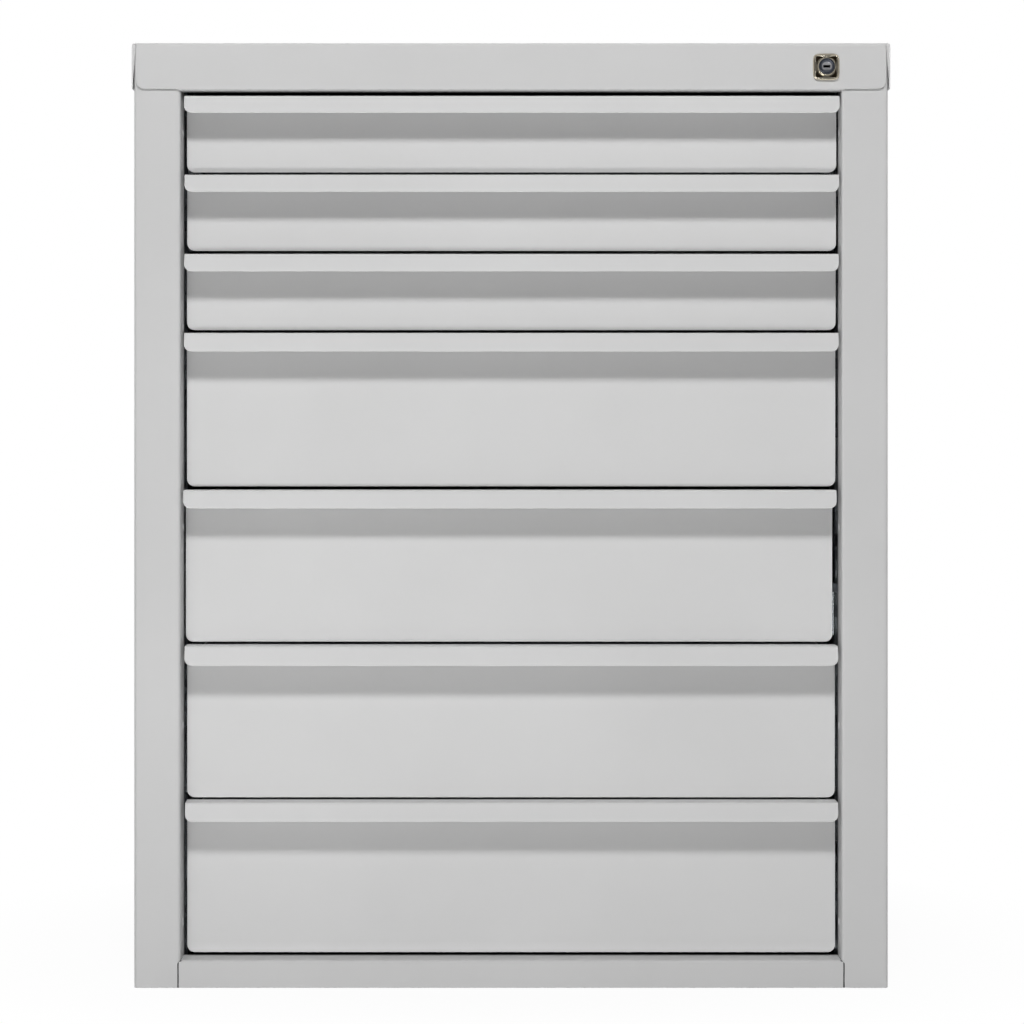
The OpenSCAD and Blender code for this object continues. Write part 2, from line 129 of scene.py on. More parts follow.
def rolledZinc(name, light, dark, roughness):
    # zinc plate on drawn steel: cool grey metal, fine lines along the depth of the cabinet
    material, tree, shader, place = newMaterial(name, {"Metallic": 1.0, "Roughness": roughness})
    across = 1000 / rolling["lineWidth"]
    along = addNode(tree, "ShaderNodeMapping", {"Scale": (across, rolling["linesPerMetre"], across)},
                    {"Vector": place})
    lines = addNode(tree, "ShaderNodeTexNoise", {"Scale": 1.0, "Detail": 3.0},
                    {"Vector": along.outputs["Vector"]})
    tone = addNode(tree, "ShaderNodeMix",
                   {"data_type": "RGBA", "A": linearColour(dark), "B": linearColour(light)},
                   {"Factor": lines.outputs["Fac"]})
    tree.links.new(tone.outputs["Result"], shader.inputs["Base Color"])
    gloss = addNode(tree, "ShaderNodeMapRange",
                    {**noiseSpan, "To Min": roughness - rolling["glossDown"],
                     "To Max": roughness + rolling["glossUp"]},
                    {"Value": lines.outputs["Fac"]})
    tree.links.new(gloss.outputs["Result"], shader.inputs["Roughness"])
    bump = addNode(tree, "ShaderNodeBump", {"Strength": 0.5, "Distance": rolling["lineDepth"] * mm},
                   {"Height": lines.outputs["Fac"]})
    tree.links.new(bump.outputs["Normal"], shader.inputs["Normal"])
    return material


spangle = {
    "crystalSize": 7.0,
    "brightest": 0.36, "dullest": 0.56,     # roughness from crystal to crystal
    "skinSize": 1.5, "skinHeight": 0.02,
}


def galvanisedSheet(name, light, dark, roughness):
    # hot-dip galvanised strip: grey zinc with the spangle of its crystals
    material, tree, shader, place = newMaterial(name, {"Metallic": 0.9, "Roughness": roughness})
    crystals = addNode(tree, "ShaderNodeTexVoronoi",
                       {"Scale": 1000 / spangle["crystalSize"], "Randomness": 1.0}, {"Vector": place})
    tint = addNode(tree, "ShaderNodeSeparateColor", links={"Color": crystals.outputs["Color"]})
    tone = addNode(tree, "ShaderNodeMix",
                   {"data_type": "RGBA", "A": linearColour(dark), "B": linearColour(light)},
                   {"Factor": tint.outputs["Red"]})
    tree.links.new(tone.outputs["Result"], shader.inputs["Base Color"])
    gloss = addNode(tree, "ShaderNodeMapRange",
                    {"To Min": spangle["brightest"], "To Max": spangle["dullest"]},
                    {"Value": tint.outputs["Green"]})
    tree.links.new(gloss.outputs["Result"], shader.inputs["Roughness"])
    skin = addNode(tree, "ShaderNodeTexNoise", {"Scale": 1000 / spangle["skinSize"], "Detail": 2.0},
                   {"Vector": place})
    bump = addNode(tree, "ShaderNodeBump", {"Strength": 0.6, "Distance": spangle["skinHeight"] * mm},
                   {"Height": skin.outputs["Fac"]})
    tree.links.new(bump.outputs["Normal"], shader.inputs["Normal"])
    return material


plating = {
    "filmSize": 3.0,        # patches of a dull film
    "filmFrom": 0.35, "filmTo": 0.75,
    "glossDown": 0.06, "glossUp": 0.1,
    "waveSize": 1.2, "waveHeight": 0.03,
}


def platedCasting(name, light, dark, roughness):
    # zinc die casting, polished and nickel plated: warm mirror with soft waviness and a dull film in places
    material, tree, shader, place = newMaterial(name, {"Metallic": 1.0, "Roughness": roughness})
    film = addNode(tree, "ShaderNodeTexNoise", {"Scale": 1000 / plating["filmSize"], "Detail": 3.0},
                   {"Vector": place})
    tone = addNode(tree, "ShaderNodeMix",
                   {"data_type": "RGBA", "A": linearColour(dark), "B": linearColour(light)},
                   {"Factor": film.outputs["Fac"]})
    tree.links.new(tone.outputs["Result"], shader.inputs["Base Color"])
    gloss = addNode(tree, "ShaderNodeMapRange",
                    {"From Min": plating["filmFrom"], "From Max": plating["filmTo"],
                     "To Min": roughness - plating["glossDown"], "To Max": roughness + plating["glossUp"]},
                    {"Value": film.outputs["Fac"]})
    tree.links.new(gloss.outputs["Result"], shader.inputs["Roughness"])
    waves = addNode(tree, "ShaderNodeTexNoise", {"Scale": 1000 / plating["waveSize"], "Detail": 1.0},
                    {"Vector": place})
    bump = addNode(tree, "ShaderNodeBump", {"Strength": 0.4, "Distance": plating["waveHeight"] * mm},
                   {"Height": waves.outputs["Fac"]})
    tree.links.new(bump.outputs["Normal"], shader.inputs["Normal"])
    return material


turning = {
    "ringWidth": 0.25, "ringDepth": 0.03,
    "glossDown": 0.08, "glossUp": 0.12,
}


def turnedSteel(name, colour, centre, roughness):
    # free-cutting steel from the lathe: dark grey metal with rings about its axis
    material, tree, shader, place = newMaterial(name, {"Metallic": 1.0, "Roughness": roughness,
                                                       "Base Color": linearColour(colour)})
    axis = addNode(tree, "ShaderNodeMapping", {"Location": (-centre.x, 0, -centre.z), "Scale": (1, 0, 1)},
                   {"Vector": place})
    radius = addNode(tree, "ShaderNodeVectorMath", {"operation": "LENGTH"}, {0: axis.outputs["Vector"]})
    rings = addNode(tree, "ShaderNodeTexNoise",
                    {"noise_dimensions": "1D", "Scale": 1000 / turning["ringWidth"], "Detail": 1.0},
                    {"W": radius.outputs["Value"]})
    gloss = addNode(tree, "ShaderNodeMapRange",
                    {**noiseSpan, "To Min": roughness - turning["glossDown"],
                     "To Max": roughness + turning["glossUp"]},
                    {"Value": rings.outputs["Fac"]})
    tree.links.new(gloss.outputs["Result"], shader.inputs["Roughness"])
    bump = addNode(tree, "ShaderNodeBump", {"Strength": 0.5, "Distance": turning["ringDepth"] * mm},
                   {"Height": rings.outputs["Fac"]})
    tree.links.new(bump.outputs["Normal"], shader.inputs["Normal"])
    return material


plugLow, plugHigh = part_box("lock_plug")
lockCentre = Vector(((plugLow.x + plugHigh.x) / 2, 0, (plugLow.z + plugHigh.z) / 2))

bodyPaint = powderCoat("bodyPowderCoat", "#c9c9c9", "#c5c5c5", 0.42)
frontPaint = powderCoat("frontPowderCoat", "#d0d0d0", "#cccccc", 0.42)
# paler copies of the paints for the cut and rounded edges: a painted highlight along them
bodyEdgeHighlight = powderCoat("bodyEdgePaintedHighlight", "#dcdcdc", "#d4d4d4", 0.34)
frontEdgeHighlight = powderCoat("frontEdgePaintedHighlight", "#f2f2f2", "#ececec", 0.34)     # painted highlight along the fronts' cut and rounded edges
weldHighlightPaint = powderCoat("weldPaintWithPaintedHighlight", "#ededed", "#e6e6e6", 0.36)    # paler than the body paint: a painted highlight for the light the raised buttons catch
trayPaint = powderCoat("trayPowderCoat", "#cdcdcd", "#c8c8c8", 0.46)
slideZinc = rolledZinc("brightZincPlate", "#ced2d6", "#b4b9be", 0.26)
# painted shade: the lock bar and hooks are made dark so that they stay dark in the gap beside the drawers
shadedBarZinc = rolledZinc("darkZincPaintedShade", "#5c5f63", "#45484c", 0.36)
cageSteel = rolledZinc("cageSteel", "#8d8f92", "#6f7174", 0.24)
# painted shade: the uprights and guides are given a dark grey so that they stay dark in the gaps beside the
# drawers
galvanised = galvanisedSheet("galvanisedStripPaintedShade", "#83878a", "#626669", 0.45)
lockNickel = platedCasting("nickelPlatedCasting", "#d8d1c0", "#aca493", 0.17)
camNickel = platedCasting("platedCam", "#b5b4ae", "#8f8e88", 0.3)
plugSteel = turnedSteel("plugSteel", "#50535b", lockCentre, 0.28)
plugFace = turnedSteel("plugFaceLighter", "#8e8e90", lockCentre, 0.24)
screwSteel = rolledZinc("screwSteel", "#9a9c9f", "#7b7d80", 0.3)
# painted shade for the joints at the ends of the bottom rail
jointShade = rolledZinc("paintedShadeInJoints", "#3f4042", "#303133", 0.5)
# painted shade in the corners of the lock head's recess
lockCornerShade = platedCasting("paintedShadeInLockCorners", "#3a3226", "#1f1a10", 0.4)
print("materials made")


# sheet metal

sheetMetal = {
    "sheet": 1.0,
    "foldRadius": 2.5,
    "foldSteps": 6, "cornerSteps": 6, "edgeSteps": 2,
    "edgeRound": 0.35,      # the paint rounds every cut edge
    "bevelAngle": 35,       # an edge sharper than this is rounded, degrees
    "solidAngle": 45,       # on a solid piece it shades sharp past this
    "faceWeight": 90,       # wide faces keep flat shading beside their rounded edges
    "seam": 0.01,           # points nearer than this are one
    "near": 0.1,            # how close a point has to be to count as lying on a plane
}


def unique(elements):
    # no element twice, and always in the same order
    return list(dict.fromkeys(elements))


def extrudeEdges(bm, edges, along):
    made = bmesh.ops.extrude_edge_only(bm, edges=edges)["geom"]
    bmesh.ops.translate(bm, verts=[g for g in made if isinstance(g, bmesh.types.BMVert)], vec=along)


def roundEdges(bm, edges, radius, steps, clamp=False):
    bmesh.ops.bevel(bm, geom=edges, offset=radius * mm, offset_type="OFFSET", segments=steps, profile=0.5,
                    affect="EDGES", material=-1, clamp_overlap=clamp)


def roundCorner(bm, place, radius, steps=sheetMetal["cornerSteps"]):
    nearest = min(bm.verts, key=lambda v: (v.co - place).length)
    bmesh.ops.bevel(bm, geom=[nearest], offset=radius * mm, offset_type="OFFSET", segments=steps, profile=0.5,
                    affect="VERTICES", material=-1, clamp_overlap=False)


def foldSheet(bm, corners, along, radius=sheetMetal["foldRadius"]):
    # a strip of sheet whose outer skin follows the corners, with its folds rounded
    row = [bm.verts.new(c) for c in corners]
    edges = [bm.edges.new(pair) for pair in zip(row, row[1:])]
    extrudeEdges(bm, edges, along)
    folds = unique(e for v in row[1:-1] for e in v.link_edges if len(e.link_faces) == 2)
    roundEdges(bm, folds, radius, sheetMetal["foldSteps"])


def cutAll(bm, place, normal, clear=False):
    # clear takes away the side that the normal points to
    bmesh.ops.bisect_plane(bm, geom=bm.verts[:] + bm.edges[:] + bm.faces[:], plane_co=place, plane_no=normal,
                           clear_outer=clear)


def cutFaces(bm, faces, place, normal):
    around = unique(g for f in faces for g in (*f.verts, *f.edges, f))
    made = bmesh.ops.bisect_plane(bm, geom=around, plane_co=place, plane_no=normal)["geom"]
    return [g for g in made if isinstance(g, bmesh.types.BMFace)]


def joinSeams(bm):
    bmesh.ops.remove_doubles(bm, verts=bm.verts, dist=sheetMetal["seam"] * mm)


def closeEnds(bm):
    bmesh.ops.holes_fill(bm, edges=[e for e in bm.edges if e.is_boundary], sides=0)


def finishPiece(name, bm, material, body, nodes=(), outward=None, sheet=0.0, edge=0.0, edgePaint=None):
    bmesh.ops.recalc_face_normals(bm, faces=bm.faces)
    if outward is not None:      # an open sheet: its largest face tells which side is the outer skin
        largest = max(bm.faces, key=lambda f: f.calc_area())
        if largest.normal.dot(Vector(outward)) < 0:
            bmesh.ops.reverse_faces(bm, faces=bm.faces)
    mesh = bpy.data.meshes.new(name)
    bm.to_mesh(mesh)
    bm.free()
    mesh.shade_smooth()
    if not sheet:
        mesh.set_sharp_from_angle(angle=math.radians(sheetMetal["solidAngle"]))
    piece = bpy.data.objects.new(name, mesh)
    bpy.context.scene.collection.objects.link(piece)
    mesh.materials.append(material)
    if sheet:
        wall = piece.modifiers.new("sheet", "SOLIDIFY")
        wall.thickness = sheet * mm
        wall.offset = -1
        wall.use_even_offset = True
        # the rim and the rounded edges take the edge paint, a painted highlight where it is paler
        wall.material_offset_rim = 1 if edgePaint else 0
    if edge:
        rounding = piece.modifiers.new("edges", "BEVEL")
        rounding.width = edge * mm
        rounding.segments = sheetMetal["edgeSteps"]
        rounding.limit_method = "ANGLE"
        rounding.angle_limit = math.radians(sheetMetal["bevelAngle"])
        rounding.use_clamp_overlap = False
        rounding.material = 1 if edgePaint else -1
    if edgePaint:
        mesh.materials.append(edgePaint)
    if sheet or edge:
        shade = piece.modifiers.new("shade", "WEIGHTED_NORMAL")
        shade.weight = sheetMetal["faceWeight"]
        shade.keep_sharp = True
    if nodes:
        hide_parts(*nodes)
    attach(piece, body)
    return piece


def paintedSheet(name, bm, node, outward, material=bodyPaint, body="root", edgePaint=bodyEdgeHighlight):
    finishPiece(name, bm, material, body, [node], outward, sheetMetal["sheet"],
                sheetMetal["edgeRound"], edgePaint)


# side panels: wall, post face, fold behind it, rear flange

sidePanel = {"postWidth": 37, "returnDepth": 30, "rearFlange": 20, "railHeight": 22}


def makeSidePanel(node, side):
    low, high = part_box(node)
    outerX = max(abs(low.x), abs(high.x)) * side
    postX = outerX - side * sidePanel["postWidth"] * mm
    flangeX = outerX - side * sidePanel["rearFlange"] * mm
    returnY = low.y + sidePanel["returnDepth"] * mm
    radius = sheetMetal["foldRadius"] * mm
    bm = bmesh.new()
    foldSheet(bm, [Vector((postX, returnY, low.z)), Vector((postX, low.y, low.z)),
                   Vector((outerX, low.y, low.z)), Vector((outerX, high.y, low.z)),
                   Vector((flangeX, high.y, low.z))], Vector((0, 0, high.z - low.z)))
    # the fold ends on the mitre with the bottom rail
    mitreX = postX + side * radius
    mitreZ = sidePanel["railHeight"] * mm - radius
    cutAll(bm, (0, 0, mitreZ), (0, 0, 1))
    fold = [f for f in bm.faces if (f.calc_center_median().x - mitreX) * side < 0]
    loose = bmesh.ops.split(bm, geom=fold)["geom"]
    bmesh.ops.bisect_plane(bm, geom=loose, plane_co=(mitreX, 0, mitreZ), plane_no=(-side, 0, -1),
                           clear_outer=True)
    joinSeams(bm)
    paintedSheet(node.replace("_panel", "_sheet"), bm, node, (side, 0, 0))


for node, side in (("left_side_panel", -1), ("right_side_panel", 1)):
    makeSidePanel(node, side)


# bottom rail: front, top and the lip behind, with mitred ends

bottomRail = {
    "lipHeight": 12,
    "jointGap": 1.0,        # the ends stop this far before the posts
    "footLift": 0.1,        # the foot hangs this far above the floor
}


def makeBottomRail():
    low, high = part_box("bottom_rail")
    radius = sheetMetal["foldRadius"] * mm
    foot = low.z + bottomRail["footLift"] * mm
    lipFoot = high.z - bottomRail["lipHeight"] * mm
    endX = high.x - bottomRail["jointGap"] * mm
    bm = bmesh.new()
    foldSheet(bm, [Vector((low.x, low.y, foot)), Vector((low.x, low.y, high.z)),
                   Vector((low.x, high.y, high.z)), Vector((low.x, high.y, lipFoot))],
              Vector((high.x - low.x, 0, 0)))
    for side in (-1, 1):
        cutAll(bm, (side * high.x, 0, high.z - radius), (side, 0, 1), clear=True)
        cutAll(bm, (side * endX, 0, 0), (side, 0, 0), clear=True)
    paintedSheet("bottom_rail_sheet", bm, "bottom_rail", (0, -1, 0), edgePaint=bodyPaint)


makeBottomRail()


# a dark strip in the joint at each end of the rail: painted shade for the narrow groove

railJoint = {"behindFace": 0.5, "overlap": 0.2, "thick": 0.3, "foldRadius": 0.1}


def makeRailJointShades():
    low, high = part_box("bottom_rail")
    radius = sheetMetal["foldRadius"] * mm
    y = low.y + railJoint["behindFace"] * mm
    overlap = railJoint["overlap"] * mm
    width = bottomRail["jointGap"] * mm + 2 * overlap
    foot = low.z + bottomRail["footLift"] * mm
    for name, side in (("left", -1), ("right", 1)):
        x = side * (high.x + overlap)
        bm = bmesh.new()
        foldSheet(bm, [Vector((x, y, foot)), Vector((x, y, high.z - radius)),
                       Vector((x - side * radius, y, high.z - overlap))],
                  Vector((-side * width, 0, 0)), railJoint["foldRadius"])
        finishPiece(f"{name}_rail_joint_shade", bm, jointShade, "root", outward=(0, -1, 0),
                    sheet=railJoint["thick"])


makeRailJointShades()


# top cap: one tray upside down with open corners, folded back once more over the drawers

topCap = {
    # heights from the floor and half widths from the middle, mm
    "skirtX": 301.7, "skirtFoot": 715.3, "skirtCorner": 2.0, "skirtCornerSteps": 4,
    "flapX": 298.2, "flapFoot": 715.2, "flapCorner": 6.5,
    "returnX": 263.5, "returnFoot": 713.7, "returnDepth": 12, "returnRadius": 2.0,
    "relief": 2.0,          # width of the step between the flap's foot and the fold
    "slit": 0.3,            # the corner of the top widens over this much
    "skirtEnd": 0.9,        # how far the skirts end behind the flaps' faces
    "beadRoom": 0.2,        # room for the paint bead above the top
}


def makeTopCap():
    low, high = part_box("top_cap")
    radius = sheetMetal["foldRadius"]
    foot, returnFoot, returnX = topCap["skirtFoot"], topCap["returnFoot"], topCap["returnX"]
    skirtX, flapX = topCap["skirtX"], topCap["flapX"]
    top = high.z / mm - topCap["beadRoom"]
    front, rear = low.y / mm, high.y / mm
    skirtFront, skirtRear = front + topCap["skirtEnd"], rear - topCap["skirtEnd"]
    bm = bmesh.new()
    foldSheet(bm, [point(-skirtX, front + radius, foot), point(-skirtX, front + radius, top),
                   point(skirtX, front + radius, top), point(skirtX, front + radius, foot)],
              Vector((0, high.y - low.y - 2 * radius * mm, 0)))
    # the skirts and their corners of the top reach further out than the top's folds to the flaps
    for x in (flapX, flapX + topCap["slit"]):
        for side in (-1, 1):
            cutAll(bm, point(side * x, 0, 0), (1, 0, 0))
    for v in bm.verts:
        if abs(v.co.x) > (flapX + 0.5 * topCap["slit"]) * mm:
            v.co.y = (skirtFront if v.co.y < 0 else skirtRear) * mm
    for side in (-1, 1):
        for y in (skirtFront, skirtRear):
            roundCorner(bm, point(side * skirtX, y, foot), topCap["skirtCorner"], topCap["skirtCornerSteps"])
    for y, inward, flapFoot in ((front, 1, returnFoot), (rear, -1, topCap["flapFoot"])):
        foldSheet(bm, [point(-flapX, y + radius * inward, top), point(-flapX, y, top),
                       point(-flapX, y, flapFoot)], point(2 * flapX, 0, 0))
    # the outer parts of the front flap end a little above the fold
    faceY = low.y + sheetMetal["near"] * mm
    flap = [f for f in bm.faces if f.calc_center_median().y < faceY]
    for x in (returnX, returnX + topCap["relief"]):
        for side in (-1, 1):
            flap = unique(flap + cutFaces(bm, flap, point(side * x, 0, 0), (1, 0, 0)))
    for v in bm.verts:
        outer = abs(v.co.x) > (returnX + 0.5 * topCap["relief"]) * mm
        if outer and v.co.y < faceY and v.co.z < foot * mm:
            v.co.z = topCap["flapFoot"] * mm
    footZ = (returnFoot + sheetMetal["near"]) * mm
    fold = [e for e in bm.edges if all(v.co.y < faceY and v.co.z < footZ for v in e.verts)]
    extrudeEdges(bm, fold, point(0, topCap["returnDepth"], 0))
    roundEdges(bm, fold, topCap["returnRadius"], sheetMetal["foldSteps"])
    for y in (front, rear):
        for side in (-1, 1):
            roundCorner(bm, point(side * flapX, y, topCap["flapFoot"]), topCap["flapCorner"])
    joinSeams(bm)
    paintedSheet("top_cap_sheet", bm, "top_cap", (0, 0, 1))


makeTopCap()


# corner welds: a bead closes the top of each open corner of the cap and runs out down its skirt

cornerWeld = {
    "inner": 298.5, "innerFoot": 300.5, "outer": 300.9,     # half widths from the middle
    "top": 751.4, "foot": 724,
    "front": 1.2, "frontFoot": 1.8, "back": 1.95,           # behind the flap's face
    "edgeRound": 0.5, "roundSteps": 3,
}


def makeCornerWelds():
    low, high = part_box("top_cap")
    bm = bmesh.new()
    for side in (-1, 1):
        for face, inward in ((low.y, 1), (high.y, -1)):
            for v in bmesh.ops.create_cube(bm, size=1.0)["verts"]:
                if v.co.z > 0:
                    x, depth, z = cornerWeld["inner"], cornerWeld["front"], cornerWeld["top"]
                else:
                    x, depth, z = cornerWeld["innerFoot"], cornerWeld["frontFoot"], cornerWeld["foot"]
                x = cornerWeld["outer"] if v.co.x > 0 else x
                depth = cornerWeld["back"] if v.co.y > 0 else depth
                v.co = point(side * x, 0, z) + Vector((0, face + inward * depth * mm, 0))
    # the short edges across the bead stay sharp
    rounded = [e for e in bm.edges if e.calc_length() > 4 * cornerWeld["edgeRound"] * mm]
    roundEdges(bm, rounded, cornerWeld["edgeRound"], cornerWeld["roundSteps"], clamp=True)
    finishPiece("cap_corner_welds", bm, bodyPaint, "root")


makeCornerWelds()
print("body sheets made")


# drawer fronts: face, ledge forward, lip turned down

drawerFront = {
    "lipHeight": 14.5,
    "foldRadius": 1.7,
    "lipCorner": 6.0,
    "faceCorner": 6.0,
    "lipReach": 3.0,        # what lies this close to the front belongs to the lip
    "splay": 0.45,          # each end of the lip spreads this much towards its foot
    "pressHeight": 8.5,     # the press leaves the foot of the face tilted
    # how each front came off the press: moved sideways, narrower at each end, then top, foot of the lip and
    # foot of the face moved up, and that foot pressed back, mm
    "fit": {1: (0.5, 0.2, -1.0, -0.1, 0.0, 0.2), 2: (0.5, 0.4, -0.7, 0.0, 0.0, 0.2),
            3: (0.25, 0.45, -0.8, -0.3, -0.7, -0.1), 4: (0.1, 0.6, -0.7, -1.1, -1.2, 0.1),
            5: (-1.55, 1.4, -0.8, -1.0, -1.1, -0.1), 6: (0.0, 0.9, 0.0, -1.3, -1.1, -0.3),
            7: (0.1, 0.8, 0.4, -0.4, -0.4, -0.6)},
    # left and right end of each lip moved to the right, mm
    "lipEnds": {1: (0.4, 0.0), 2: (0.4, -0.15), 3: (0.4, -0.1), 4: (0.35, 0.1), 5: (0.5, 0.9), 6: (0.45, 0.1),
                7: (0.85, -0.1)},
}


def makeDrawerFront(number):
    node = f"drawer_{number}_front"
    low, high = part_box(node)
    shift, narrow, top, lipMove, footMove, press = (value * mm for value in drawerFront["fit"][number])
    left, right = low.x + narrow + shift, high.x - narrow + shift
    ledge = high.z + top
    lipFoot = high.z - drawerFront["lipHeight"] * mm + lipMove
    foot = low.z + footMove
    pressTop = foot + drawerFront["pressHeight"] * mm
    leftEnd, rightEnd = drawerFront["lipEnds"][number]
    splay = drawerFront["splay"] * mm
    near = sheetMetal["near"] * mm
    bm = bmesh.new()
    foldSheet(bm, [Vector((left, low.y, lipFoot)), Vector((left, low.y, ledge)),
                   Vector((left, high.y, ledge)), Vector((left, high.y, foot))],
              Vector((right - left, 0, 0)), drawerFront["foldRadius"])
    for v in bm.verts:
        if v.co.y < low.y + drawerFront["lipReach"] * mm:
            v.co.x += (leftEnd if v.co.x < 0 else rightEnd) * mm
        if v.co.y < low.y + near and v.co.z < lipFoot + near:
            v.co.x += math.copysign(splay, v.co.x)
    for x, spread in ((left, -splay), (right, splay)):
        roundCorner(bm, Vector((x + spread, low.y, lipFoot)), drawerFront["lipCorner"])
        roundCorner(bm, Vector((x, high.y, foot)), drawerFront["faceCorner"])
    face = [f for f in bm.faces if f.calc_center_median().y > high.y - near]
    cutFaces(bm, face, (0, 0, pressTop), (0, 0, 1))
    for v in bm.verts:
        if v.co.z < pressTop:
            v.co.y += press * (pressTop - v.co.z) / (pressTop - foot)
    paintedSheet(f"drawer_{number}_front_sheet", bm, node, (0, 1, 0), frontPaint, f"drawer_{number}",
                 frontEdgeHighlight)


drawerNumbers = sorted(int(name.split("_")[1]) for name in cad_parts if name.endswith("_front"))
for number in drawerNumbers:
    makeDrawerFront(number)
print("drawer fronts made")


# spot welds: low buttons on the folds behind the posts and on the rear flanges

spotWeld = {
    "radius": 3.1, "proud": 0.4, "dimple": 0.14,
    "sunk": 0.02, "rim": 0.04,      # the button's edge, from just under the sheet to just above it
    "shoulders": (0.86, 0.62, 0.4, 0.15),       # radii where the button bends, as shares of its own
    "steps": 24,
    "postHeights": (682, 526, 366, 207, 50), "behindPost": 20.5,
    "rearHeights": (50, 170, 290, 410, 530, 650), "fromRearEdge": 10, "rearProud": 0.25,     # flatter ones
}


def makeSpotWelds(name, centres, outward, proud):
    radius = spotWeld["radius"]
    rises = (0.6 * proud, proud, proud, proud - spotWeld["dimple"])
    outline = [(radius, -spotWeld["sunk"]), (radius, spotWeld["rim"])]
    outline += [(share * radius, rise) for share, rise in zip(spotWeld["shoulders"], rises)]
    bm = bmesh.new()
    for centre in centres:
        row = [bm.verts.new(centre + Vector(outward) * out * mm + point(0, 0, away)) for away, out in outline]
        edges = [bm.edges.new(pair) for pair in zip(row, row[1:])]
        bmesh.ops.spin(bm, geom=row + edges, cent=centre, axis=outward, angle=math.tau,
                       steps=spotWeld["steps"], use_merge=True)
    closeEnds(bm)
    finishPiece(name, bm, weldHighlightPaint, "root")


for name, side in (("left", -1), ("right", 1)):
    low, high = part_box(f"{name}_side_panel")
    outerX = max(abs(low.x), abs(high.x)) * side
    foldX = outerX - side * sidePanel["postWidth"] * mm
    foldY = low.y + spotWeld["behindPost"] * mm
    flangeX = outerX - side * spotWeld["fromRearEdge"] * mm
    makeSpotWelds(f"{name}_post_welds", [Vector((foldX, foldY, z * mm)) for z in spotWeld["postHeights"]],
                  (-side, 0, 0), spotWeld["proud"])
    makeSpotWelds(f"{name}_rear_welds", [Vector((flangeX, high.y, z * mm)) for z in spotWeld["rearHeights"]],
                  (0, 1, 0), spotWeld["rearProud"])


# lock: square head with bowed sides and a round collar, threaded barrel, plug with its key slot

lockHead = {
    # half width, away from the cap's face, roundness (2 is a circle, higher is squarer), middles of the sides
    # pulled in, moved sideways and down, mm
    "rings": [(10.5, 0.0, 5, 0, 0.5), (10.65, 1.1, 5, 0, 0.5), (10.6, 1.5, 5, 0, 0.5),
              (10.45, 1.85, 5, 0, 0.5), (10.15, 2.15, 5.2, 0, 0.5), (9.8, 2.38, 5.5, 0, 0.5),
              (9.4, 2.42, 6, 0, 0.5), (9.0, 2.34, 8, 0.15, 0.5), (8.65, 2.15, 11, 1.2, 0.45),
              (8.5, 1.3, 11, 1.2, 0.45), (7.3, 1.2, 3, 0, 0.35), (7.3, 1.1, 2, 0, 0.25),
              (7.3, 1.95, 2, 0, 0.25), (7.25, 2.35, 2, 0, 0.2), (7.1, 2.56, 2, 0, 0.15),
              (6.85, 2.62, 2, 0, 0.1), (6.5, 2.5, 2, 0, 0), (6.25, 2.1, 2, 0, 0)],
    "dark": (9, 11),        # between these rings the corners take the painted shade
    "barrelRadius": 9.5, "boreRadius": 6.25,
    "threadDepth": 0.5, "threadPitch": 1.25,
    "plainLength": 1.5,     # barrel without thread behind the cap's face
    "segments": 72,
}
lockPlug = {
    # half width, half height, away from the cap's face, roundness, mm
    "rings": [(6.2, 6.2, 0.0, 2), (6.2, 6.2, 2.5, 2), (6.05, 6.05, 2.75, 2), (5.7, 5.7, 2.88, 2),
              (4.9, 4.9, 2.85, 2), (4.55, 4.55, 2.7, 2), (4.3, 4.3, 2.4, 2), (3.9, 3.4, 2.1, 2.2),
              (3.1, 1.3, 1.6, 4), (2.75, 0.95, 1.3, 6), (2.75, 0.95, -3.5, 6)],
    "face": (8, 10),        # between these rings the face takes a lighter grey
    "radius": 6.2,
}


def addRing(bm, halfX, halfZ, y, roundness=2, pinch=0.0, shift=0.0):
    made = bmesh.ops.create_circle(bm, segments=lockHead["segments"], radius=1.0)["verts"]
    for v in made:
        reach = (abs(v.co.x) ** roundness + abs(v.co.y) ** roundness) ** (-1 / roundness)
        inward = pinch * (v.co.x ** 2 - v.co.y ** 2) ** 2
        v.co = lockCentre + Vector((((halfX - inward) * v.co.x * reach - shift) * mm, y,
                                    ((halfZ - inward) * v.co.y * reach - shift) * mm))
    return unique(e for v in made for e in v.link_edges)


def bridgeRings(bm, rings):
    return [bmesh.ops.bridge_loops(bm, edges=ring + after)["faces"] for ring, after in zip(rings, rings[1:])]


def paintBands(bands, first, between):
    # the bands between two rings take the piece's second material
    for band in bands[first + between[0] - 1:first + between[1] - 1]:
        for f in band:
            f.material_index = 1


def makeLockHousing():
    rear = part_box("lock_housing")[1].y
    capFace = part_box("top_cap")[0].y
    barrel, bore, pitch = lockHead["barrelRadius"], lockHead["boreRadius"], lockHead["threadPitch"]
    valley = barrel - lockHead["threadDepth"]
    back = capFace + lockHead["plainLength"] * mm
    bm = bmesh.new()
    rings = [addRing(bm, bore, bore, rear), addRing(bm, valley, valley, rear)]
    for turn in range(int((rear - back) / mm / pitch) - 1):
        y = rear - (turn + 0.5) * pitch * mm
        rings.append(addRing(bm, barrel, barrel, y))
        rings.append(addRing(bm, valley, valley, y - 0.5 * pitch * mm))
    rings.append(addRing(bm, barrel, barrel, back))
    rings.append(addRing(bm, barrel, barrel, capFace))
    first = len(rings)
    for half, out, roundness, pinch, shift in lockHead["rings"]:
        rings.append(addRing(bm, half, half, capFace - out * mm, roundness, pinch, shift))
    bands = bridgeRings(bm, rings + rings[:1])
    paintBands(bands, first, lockHead["dark"])
    piece = finishPiece("lock_housing_casting", bm, lockNickel, "root", ["lock_housing"])
    piece.data.materials.append(lockCornerShade)


